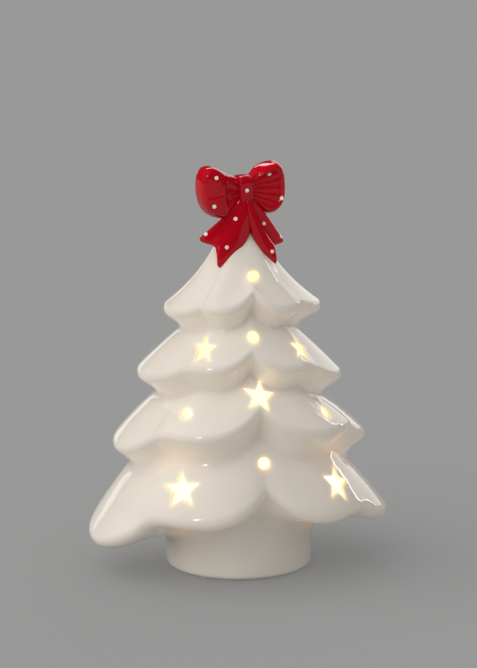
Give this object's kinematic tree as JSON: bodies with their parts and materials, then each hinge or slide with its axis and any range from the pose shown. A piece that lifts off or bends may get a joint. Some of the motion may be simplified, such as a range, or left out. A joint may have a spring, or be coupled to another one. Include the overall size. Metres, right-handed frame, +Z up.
{
  "type": "ceramic christmas tree",
  "caption": "Glazed white ceramic Christmas tree with star and dot cut-outs, a spotted red clay bow on its tip and a battery light with slide switch and hinged door in its foot.",
  "frame": {"origin": "on the table, at the centre of the object's footprint box, under the tree's axis", "axes": "+Z up along the tree's axis, -Y towards the front of the tree, +X to the tree's right as seen from the front"},
  "size_m": [0.1904, 0.1553, 0.2556],
  "materials": {
    "white_glaze": "gloss",
    "red_glaze": "gloss",
    "pad_rubber": "matte",
    "gasket_foam": "matte",
    "white_plastic": "satin",
    "door_plastic": "satin",
    "frosted_plastic": "frosted",
    "board_green": "satin",
    "lamp_epoxy": "gloss",
    "chip_black": "matte",
    "resistor_body": "satin",
    "switch_black": "matte",
    "screw_steel": "zinc plated",
    "contact_brass": "nickel plated",
    "cell_sleeve": "satin"
  },
  "bodies": {
    "tree": {"tree_shell": "white_glaze", "bow_knot": "red_glaze", "bow_left_loop": "red_glaze", "bow_right_loop": "red_glaze", "bow_left_tail": "red_glaze", "bow_right_tail": "red_glaze", "foot_pads": "pad_rubber", "seat_gasket": "gasket_foam", "base_plate": "white_plastic", "light_housing": "white_plastic", "housing_screws": "screw_steel", "board_screws": "screw_steel", "circuit_board": "board_green", "lamp_1": "lamp_epoxy", "lamp_2": "lamp_epoxy", "lamp_3": "lamp_epoxy", "lamp_4": "lamp_epoxy", "driver_chip": "chip_black", "resistors": "resistor_body", "diffuser_dome": "frosted_plastic", "switch_body": "switch_black", "switch_pins": "contact_brass", "battery_1": "cell_sleeve", "battery_2": "cell_sleeve", "contact_bridge": "contact_brass", "contact_negative": "contact_brass", "contact_positive": "contact_brass"},
    "switch": {"switch_slider": "switch_black"},
    "door": {"battery_door": "door_plastic"}
  },
  "joints": [
    {"name": "switch_slide", "type": "slide", "parent": "tree", "child": "switch", "axis": [0, 1, 0], "range_m": [-0.0025, 0.0025]},
    {"name": "door_hinge", "type": "hinge", "parent": "tree", "child": "door", "pos_m": [0, -0.0242, 0.00215], "axis": [-1, 0, 0], "range_deg": [0, 80]}
  ]
}
